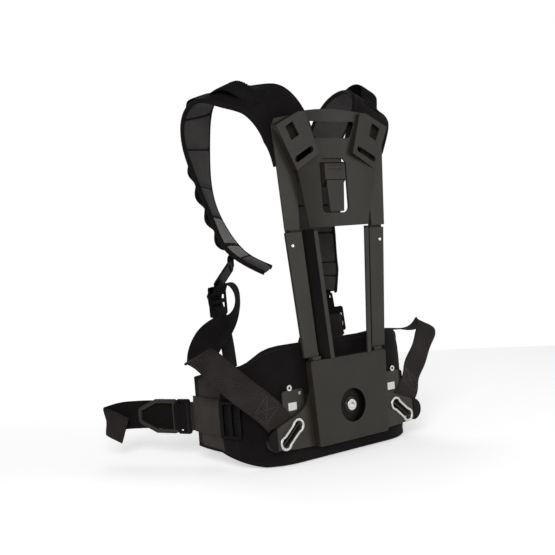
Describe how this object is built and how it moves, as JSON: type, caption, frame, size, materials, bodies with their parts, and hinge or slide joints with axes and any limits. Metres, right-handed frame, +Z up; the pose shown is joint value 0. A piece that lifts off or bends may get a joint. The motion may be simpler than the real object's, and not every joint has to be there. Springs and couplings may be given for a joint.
{
  "type": "breathing apparatus",
  "caption": "Wearable back frame for an air cylinder, with telescoping rails, padded shoulder straps and a pivoting padded hip belt.",
  "frame": {"origin": "centre of the pivot recess, in the plane of the lower plate's flat rear face", "axes": "+X to the right seen from behind, +Y forwards towards the wearer, +Z up along the wearer's back"},
  "size_m": [0.5543, 0.3856, 0.6459],
  "materials": {
    "plate_composite": "satin",
    "rail_composite": "satin",
    "black_plastic": "satin",
    "steel": "bright",
    "swivel_steel": "satin black",
    "bush_bronze": "plain",
    "pad_fabric": "woven, padded",
    "webbing": "ribbed webbing"
  },
  "bodies": {
    "lower_frame": {"lower_plate": "plate_composite", "wing_carrier": "rail_composite", "pivot_bush": "bush_bronze", "pivot_washer": "swivel_steel", "pivot_bolt": "steel", "pivot_nut": "steel", "carrier_screws": "steel", "webbing_eye_left": "steel", "webbing_eye_right": "steel", "webbing_pin_left": "swivel_steel", "webbing_pin_right": "swivel_steel", "wing_end_cap_left": "black_plastic", "wing_end_cap_right": "black_plastic", "rail_sleeve_left": "rail_composite", "rail_sleeve_right": "rail_composite", "sleeve_cap_left": "black_plastic", "sleeve_cap_right": "black_plastic", "lower_webbing_left": "webbing", "lower_webbing_right": "webbing"},
    "upper_frame": {"head_plate": "plate_composite", "latch_pin": "steel", "leg_screws": "steel", "upper_leg_left": "rail_composite", "upper_leg_right": "rail_composite", "pad_anchor_left": "black_plastic", "pad_anchor_right": "black_plastic", "shoulder_pad_left": "pad_fabric", "shoulder_pad_right": "pad_fabric", "crest_loop_left": "webbing", "crest_loop_right": "webbing", "pad_webbing_left": "webbing", "pad_webbing_right": "webbing", "strap_adjuster_left": "black_plastic", "strap_adjuster_right": "black_plastic", "adjuster_webbing_left": "webbing", "adjuster_webbing_right": "webbing", "pull_tail_left": "webbing", "pull_tail_right": "webbing"},
    "release_latch": {"release_latch": "plate_composite"},
    "lock_plunger_left": {"lock_plunger_left": "steel"},
    "lock_plunger_right": {"lock_plunger_right": "steel"},
    "hip_swivel": {"hip_pad": "pad_fabric", "swivel_plate": "swivel_steel", "bracket_rivets": "steel", "bracket_clips": "steel", "bracket_eyelets": "steel", "belt_bracket_left": "rail_composite", "belt_bracket_right": "rail_composite", "belt_sleeve_left": "pad_fabric", "belt_sleeve_right": "pad_fabric", "wing_slider_left": "black_plastic", "wing_slider_right": "black_plastic", "belt_webbing_left": "webbing", "belt_webbing_right": "webbing", "tri_glide_left": "black_plastic", "tri_glide_right": "black_plastic", "belt_tail_left": "webbing", "belt_tail_right": "webbing"},
    "belt_ring": {"belt_ring": "rail_composite"},
    "belt_hook": {"belt_hook": "black_plastic"}
  },
  "joints": [
    {"name": "back_length", "type": "slide", "parent": "lower_frame", "child": "upper_frame", "axis": [0, 0, 1], "range_m": [0, 0.045]},
    {"name": "latch_press", "type": "hinge", "parent": "upper_frame", "child": "release_latch", "pos_m": [0, 0.0135, 0.319], "axis": [-1, 0, 0], "range_deg": [0, 8], "stiffness_Nm_per_rad": 4},
    {"name": "plunger_pull_left", "type": "slide", "parent": "lower_frame", "child": "lock_plunger_left", "axis": [0, -1, 0], "range_m": [0, 0.0035], "stiffness_N_per_m": 800},
    {"name": "plunger_pull_right", "type": "slide", "parent": "lower_frame", "child": "lock_plunger_right", "axis": [0, -1, 0], "range_m": [0, 0.0035], "stiffness_N_per_m": 800},
    {"name": "hip_pivot", "type": "hinge", "parent": "lower_frame", "child": "hip_swivel", "pos_m": [0, 0.0216, 0], "axis": [0, 1, 0], "range_deg": [-5, 5]},
    {"name": "ring_swing", "type": "hinge", "parent": "hip_swivel", "child": "belt_ring", "pos_m": [-0.20503, 0.23639, -0.004], "axis": [0, 0, 1], "range_deg": [0, 40]},
    {"name": "hook_swing", "type": "hinge", "parent": "hip_swivel", "child": "belt_hook", "pos_m": [0.20503, 0.23639, -0.004], "axis": [0, 0, -1], "range_deg": [0, 40]}
  ]
}
